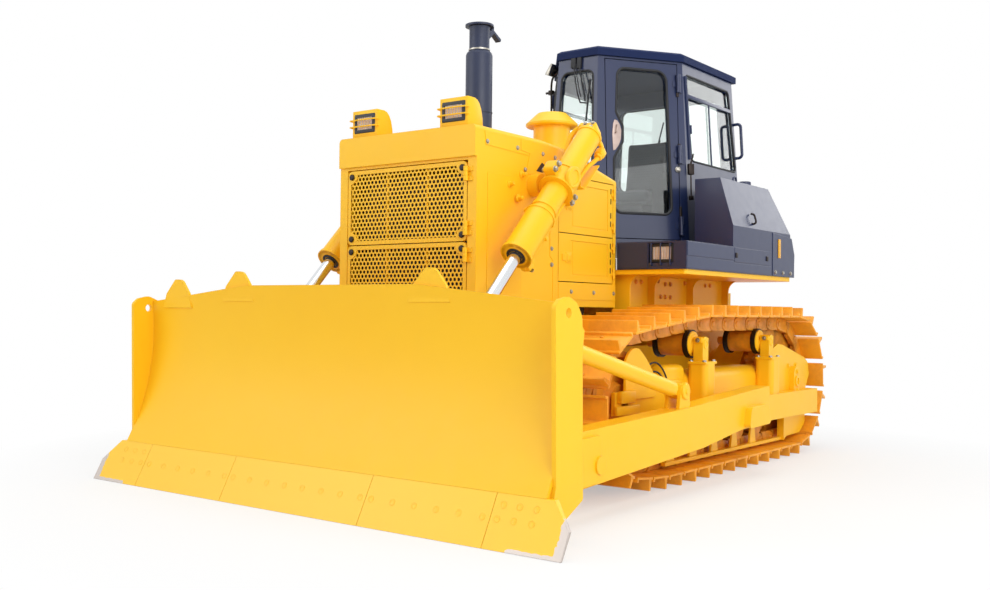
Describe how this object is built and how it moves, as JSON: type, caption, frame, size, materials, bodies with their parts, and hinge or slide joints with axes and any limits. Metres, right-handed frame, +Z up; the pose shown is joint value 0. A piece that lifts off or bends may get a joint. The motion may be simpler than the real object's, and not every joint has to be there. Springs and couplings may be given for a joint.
{
  "type": "crawler bulldozer",
  "caption": "Crawler bulldozer with a wide straight blade on outside push arms, twin lift cylinders, perforated radiator doors, enclosed cab and long tracks.",
  "frame": {"origin": "on the ground, on the centre plane, half way between the cutting edge and the drawbar", "axes": "+Z up; the machine's front (blade) faces -Y; its left side is +X; +Y is its rear"},
  "size_m": [3.725, 5.46, 3.265],
  "materials": {
    "yellow_paint": "gloss enamel",
    "cab_paint": "gloss enamel",
    "window_glass": "clear safety glass",
    "seat_fabric": "woven upholstery",
    "dark_trim": "moulded",
    "worn_steel": "painted steel with bare wear edges",
    "chromed_rod": "ground and hard-chromed",
    "cast_engine": "painted casting"
  },
  "bodies": {
    "tractor": {"belly_frame": "yellow_paint", "engine_block": "cast_engine", "radiator_core": "dark_trim", "radiator_guard": "yellow_paint", "hood": "yellow_paint", "track_left": "worn_steel", "track_right": "worn_steel", "track_frame_left": "yellow_paint", "track_frame_right": "yellow_paint", "sprockets": "worn_steel", "idlers": "yellow_paint", "rollers": "yellow_paint", "final_drives": "yellow_paint", "platform": "yellow_paint", "fenders": "cab_paint", "cab_shell": "cab_paint", "cab_glass": "window_glass", "cab_roof": "cab_paint", "seat": "seat_fabric", "controls": "dark_trim", "exhaust_stack": "cab_paint", "precleaner": "yellow_paint", "lamps": "yellow_paint", "grab_rails": "cab_paint", "drawbar": "yellow_paint"},
    "blade_group": {"blade": "yellow_paint", "cutting_edges": "yellow_paint", "end_bits": "yellow_paint", "push_arms": "yellow_paint", "brace_tube": "yellow_paint", "tilt_cylinder": "yellow_paint"},
    "lift_barrel_left": {"lift_barrel_left": "yellow_paint"},
    "lift_barrel_right": {"lift_barrel_right": "yellow_paint"},
    "lift_rod_left": {"lift_rod_left": "chromed_rod"},
    "lift_rod_right": {"lift_rod_right": "chromed_rod"},
    "grille_upper": {"grille_upper": "yellow_paint"},
    "grille_lower": {"grille_lower": "yellow_paint"},
    "engine_door_upper_left": {"engine_door_upper_left": "yellow_paint"},
    "engine_door_upper_right": {"engine_door_upper_right": "yellow_paint"},
    "engine_door_lower_left": {"engine_door_lower_left": "yellow_paint"},
    "engine_door_lower_right": {"engine_door_lower_right": "yellow_paint"},
    "cab_door_left": {"cab_door_left": "cab_paint", "door_glass_left": "window_glass"},
    "cab_door_right": {"cab_door_right": "cab_paint", "door_glass_right": "window_glass"},
    "rain_cap": {"rain_cap": "cab_paint"}
  },
  "joints": [
    {"name": "blade_lift", "type": "hinge", "parent": "tractor", "child": "blade_group", "pos_m": [0, 0.42, 0.425], "axis": [1, 0, 0], "range_deg": [-21.2, 9.6]},
    {"name": "lift_swing_left", "type": "hinge", "parent": "tractor", "child": "lift_barrel_left", "pos_m": [0.79, -1.107, 1.981], "axis": [1, 0, 0], "range_deg": [-24.58, 11.24]},
    {"name": "lift_stroke_left", "type": "slide", "parent": "lift_barrel_left", "child": "lift_rod_left", "axis": [0, -0.7032, -0.711], "range_m": [-0.7874, 0.3582]},
    {"name": "lift_swing_right", "type": "hinge", "parent": "tractor", "child": "lift_barrel_right", "pos_m": [-0.79, -1.107, 1.981], "axis": [1, 0, 0], "range_deg": [-24.58, 11.24]},
    {"name": "lift_stroke_right", "type": "slide", "parent": "lift_barrel_right", "child": "lift_rod_right", "axis": [0, -0.7032, -0.711], "range_m": [-0.7874, 0.3582]},
    {"name": "grille_upper_hinge", "type": "hinge", "parent": "tractor", "child": "grille_upper", "pos_m": [0.508, -1.736, 1.8325], "axis": [0, 0, 1], "range_deg": [0, 110]},
    {"name": "grille_lower_hinge", "type": "hinge", "parent": "tractor", "child": "grille_lower", "pos_m": [0.508, -1.736, 1.342], "axis": [0, 0, 1], "range_deg": [0, 28]},
    {"name": "engine_door_upper_left_hinge", "type": "hinge", "parent": "tractor", "child": "engine_door_upper_left", "pos_m": [0.588, -0.063, 1.8945], "axis": [0, 0, 1], "range_deg": [0, 90]},
    {"name": "engine_door_lower_left_hinge", "type": "hinge", "parent": "tractor", "child": "engine_door_lower_left", "pos_m": [0.588, -0.063, 1.5305], "axis": [0, 0, 1], "range_deg": [0, 90]},
    {"name": "engine_door_upper_right_hinge", "type": "hinge", "parent": "tractor", "child": "engine_door_upper_right", "pos_m": [-0.588, -0.063, 1.8945], "axis": [0, 0, -1], "range_deg": [0, 90]},
    {"name": "engine_door_lower_right_hinge", "type": "hinge", "parent": "tractor", "child": "engine_door_lower_right", "pos_m": [-0.588, -0.063, 1.5305], "axis": [0, 0, -1], "range_deg": [0, 90]},
    {"name": "cab_door_left_hinge", "type": "hinge", "parent": "tractor", "child": "cab_door_left", "pos_m": [0.67191, 0.87136, 1.67154], "axis": [-0.0508, 0.0353, 0.9981], "range_deg": [0, 65]},
    {"name": "cab_door_right_hinge", "type": "hinge", "parent": "tractor", "child": "cab_door_right", "pos_m": [-0.67191, 0.87136, 1.67154], "axis": [-0.0508, -0.0353, -0.9981], "range_deg": [0, 65]},
    {"name": "rain_cap_hinge", "type": "hinge", "parent": "tractor", "child": "rain_cap", "pos_m": [0, -0.833, 3.164], "axis": [-1, 0, 0], "range_deg": [0, 60]}
  ],
  "couplings": [
    {"joint": "lift_swing_left", "follows": "blade_lift", "ratio": 1.15},
    {"joint": "lift_stroke_left", "follows": "blade_lift", "m_per_rad": 2.12},
    {"joint": "lift_swing_right", "follows": "blade_lift", "ratio": 1.15},
    {"joint": "lift_stroke_right", "follows": "blade_lift", "m_per_rad": 2.12}
  ]
}
